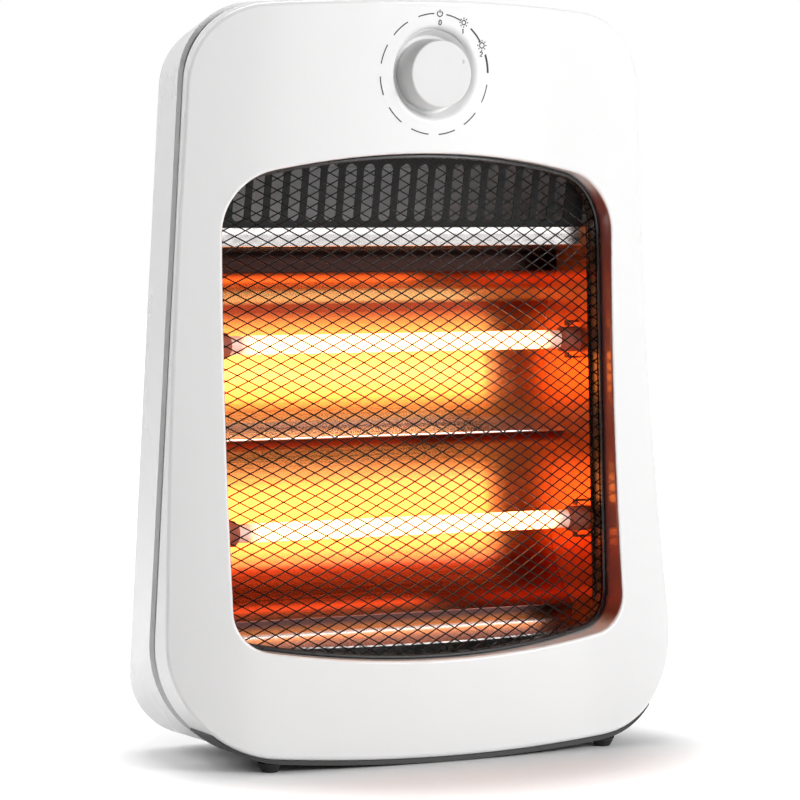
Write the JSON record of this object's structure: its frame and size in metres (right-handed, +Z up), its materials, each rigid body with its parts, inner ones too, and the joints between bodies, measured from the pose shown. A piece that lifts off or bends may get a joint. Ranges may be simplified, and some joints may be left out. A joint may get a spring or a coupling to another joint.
{
  "type": "portable two-tube quartz heater",
  "caption": "White free-standing quartz heater with bowed front, diamond mesh grille, glowing tubes, polished reflector and a dial knob above the window",
  "frame": {"origin": "on the floor, below the middle of the width and of the depth", "axes": "+Z up; the front with the grille and the knob faces -Y; +X is right seen from the front"},
  "size_m": [0.2836, 0.1112, 0.3767],
  "materials": {
    "white_gloss": "smooth white gloss moulding",
    "grey_trim": "satin grey moulding",
    "black_plastic": "fine-grained black moulding",
    "foot_rubber": "soft matt black",
    "black_wire": "gloss black coating on steel wire",
    "polished_reflector": "mirror-polished sheet with slight heat tint",
    "bright_sheet": "bright rolled sheet",
    "dark_sheet": "satin black on pressed sheet",
    "quartz": "milky quartz, glowing",
    "hot_wire": "oxidised resistance wire",
    "cap_ceramic": "unglazed white ceramic",
    "zinc_steel": "zinc-plated steel",
    "switch_plastic": "cream thermoset moulding"
  },
  "bodies": {
    "root": {"front_panel": "white_gloss", "rear_casing": "white_gloss", "seam_frame": "grey_trim", "base_plate": "black_plastic", "cord_gland": "black_plastic", "tip_switch_housing": "black_plastic", "switch_body": "black_plastic", "foot_front_left": "foot_rubber", "foot_front_right": "foot_rubber", "foot_rear_left": "foot_rubber", "foot_rear_right": "foot_rubber", "grille_mesh": "black_wire", "grille_rim": "black_wire", "reflector": "polished_reflector", "reflector_end_left": "bright_sheet", "reflector_end_right": "bright_sheet", "cap_clips": "bright_sheet", "vent_plate": "dark_sheet", "quartz_tube_upper": "quartz", "quartz_tube_lower": "quartz", "heating_coil_upper": "hot_wire", "heating_coil_lower": "hot_wire", "ceramic_cap_upper_left": "cap_ceramic", "ceramic_cap_upper_right": "cap_ceramic", "ceramic_cap_lower_left": "cap_ceramic", "ceramic_cap_lower_right": "cap_ceramic", "switch_nut": "zinc_steel", "casing_screws": "zinc_steel", "reflector_screws": "zinc_steel", "micro_switch": "switch_plastic", "terminal_block": "switch_plastic", "thermal_cutout": "switch_plastic"},
    "knob": {"knob": "white_gloss", "switch_shaft": "zinc_steel"},
    "plunger": {"tip_plunger": "black_plastic", "tip_spring": "zinc_steel"},
    "lever": {"tip_lever": "zinc_steel"}
  },
  "joints": [
    {"name": "knob_turn", "type": "hinge", "parent": "root", "child": "knob", "pos_m": [0, -0.036, 0.339], "axis": [0, 1, 0], "range_deg": [-60, 0]},
    {"name": "plunger_travel", "type": "slide", "parent": "root", "child": "plunger", "axis": [0, 0, -1], "range_m": [0, 0.006], "stiffness_N_per_m": 120, "springref_m": 0.008, "deforming": ["tip_spring"]},
    {"name": "lever_swing", "type": "hinge", "parent": "root", "child": "lever", "pos_m": [0.052, 0.01602, 0.03755], "axis": [0, -1, 0], "range_deg": [0, 26]}
  ],
  "couplings": [
    {"joint": "lever_swing", "follows": "plunger_travel", "rad_per_m": 73}
  ]
}
